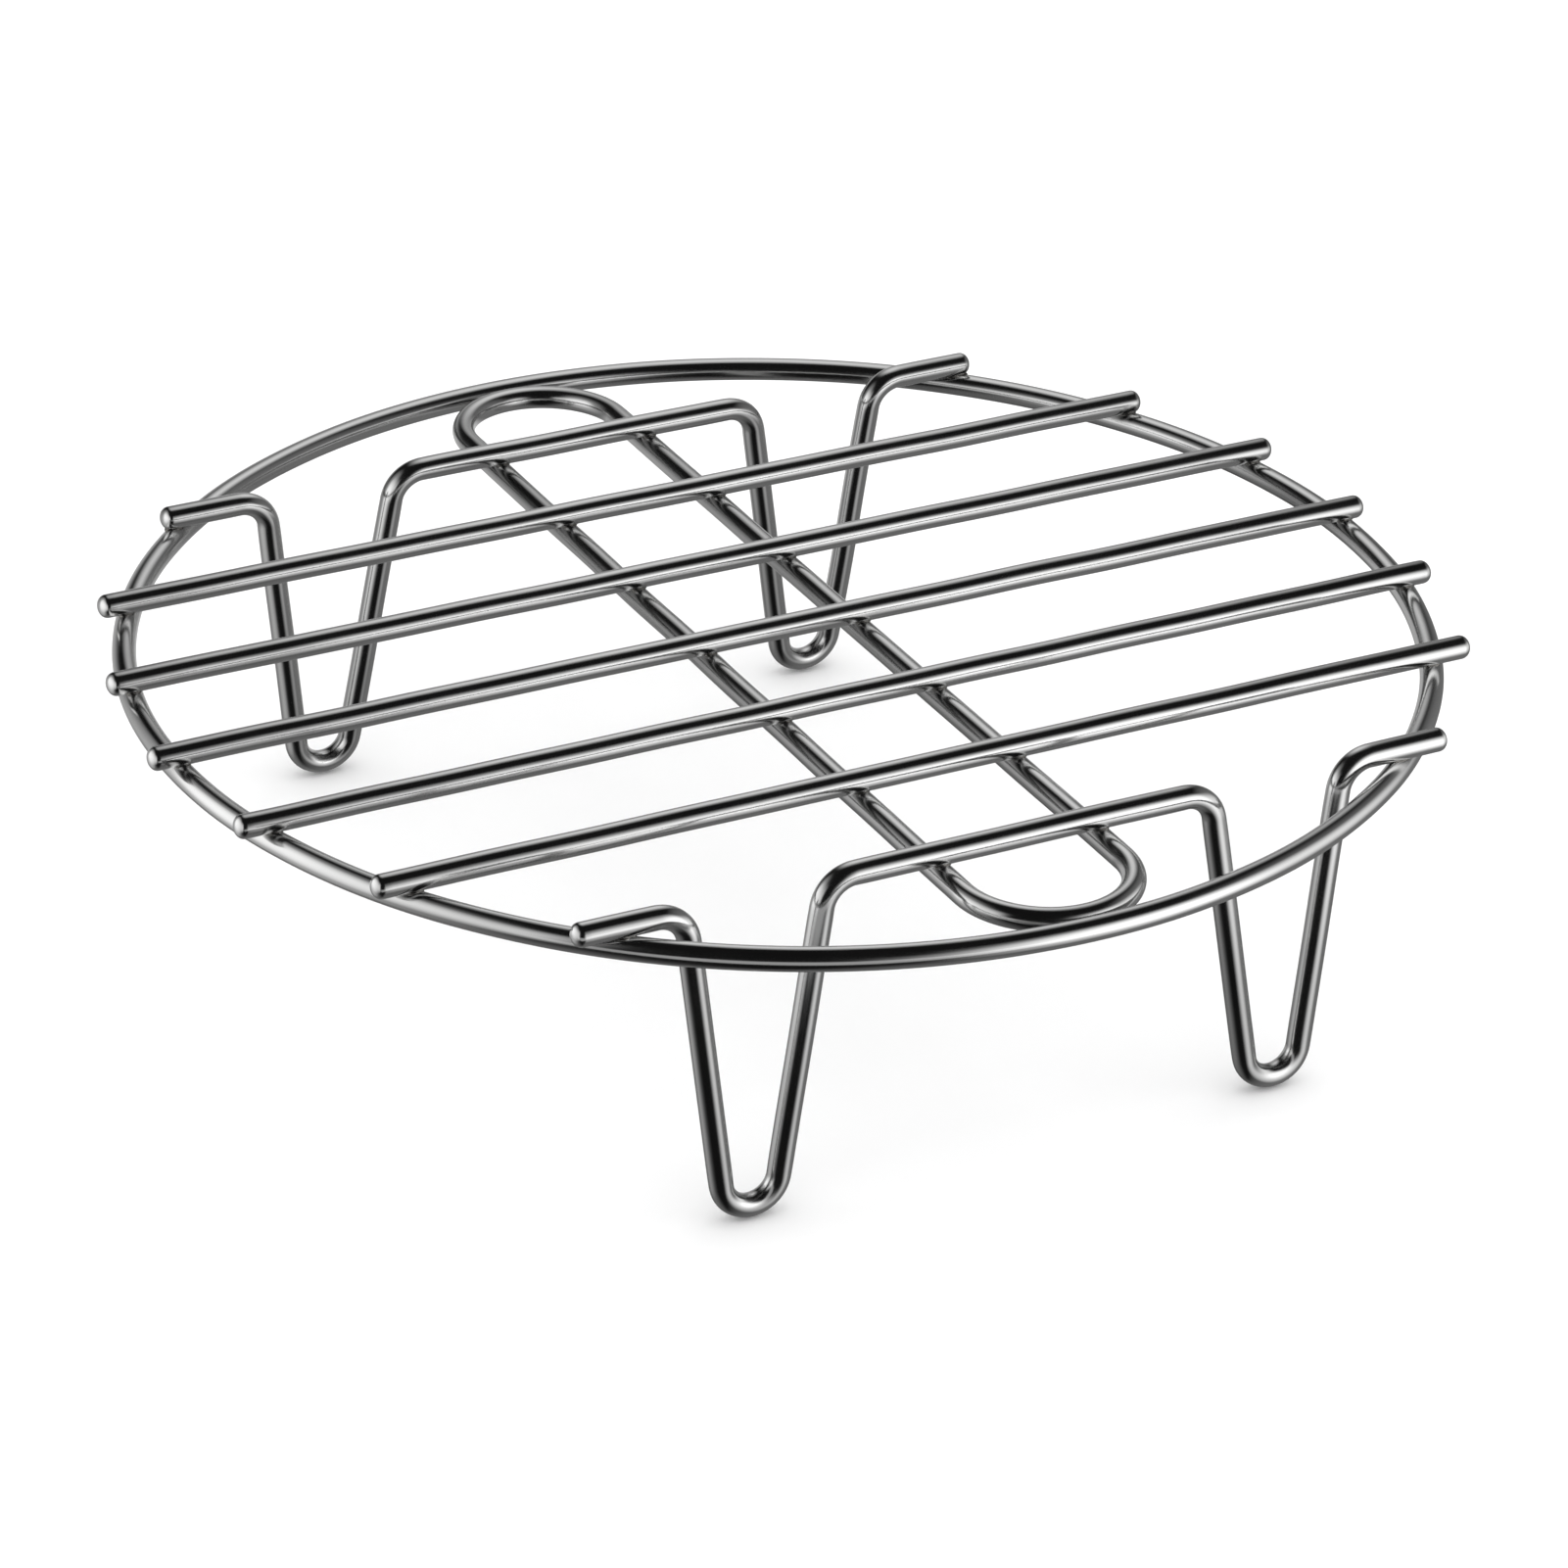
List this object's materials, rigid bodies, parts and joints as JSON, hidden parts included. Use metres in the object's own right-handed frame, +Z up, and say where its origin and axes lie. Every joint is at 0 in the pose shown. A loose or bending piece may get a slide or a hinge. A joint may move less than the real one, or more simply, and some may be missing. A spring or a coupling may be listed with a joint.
{
  "type": "cooling rack",
  "caption": "Low round wire rack: parallel rods welded across a hoop and a long oval loop, with bent wire legs, that lifts food clear of a pan or worktop so air can pass under it.",
  "frame": {"origin": "on the plane the feet stand on, under the centre of the hoop", "axes": "+X along the parallel rods, to the right when the front leg wire is nearest; +Y from the front leg wire to the rear one; +Z up"},
  "size_m": [0.1976, 0.193, 0.0508],
  "materials": {
    "stainless_wire": "polished",
    "weld_metal": "satin"
  },
  "bodies": {
    "root": {"outer_ring": "stainless_wire", "support_loop": "stainless_wire", "front_leg_wire": "stainless_wire", "cross_rod_1": "stainless_wire", "cross_rod_2": "stainless_wire", "cross_rod_3": "stainless_wire", "cross_rod_4": "stainless_wire", "cross_rod_5": "stainless_wire", "rear_leg_wire": "stainless_wire", "ring_weld_nuggets": "weld_metal", "loop_weld_nuggets": "weld_metal", "loop_end_weld_nuggets": "weld_metal"}
  },
  "joints": []
}
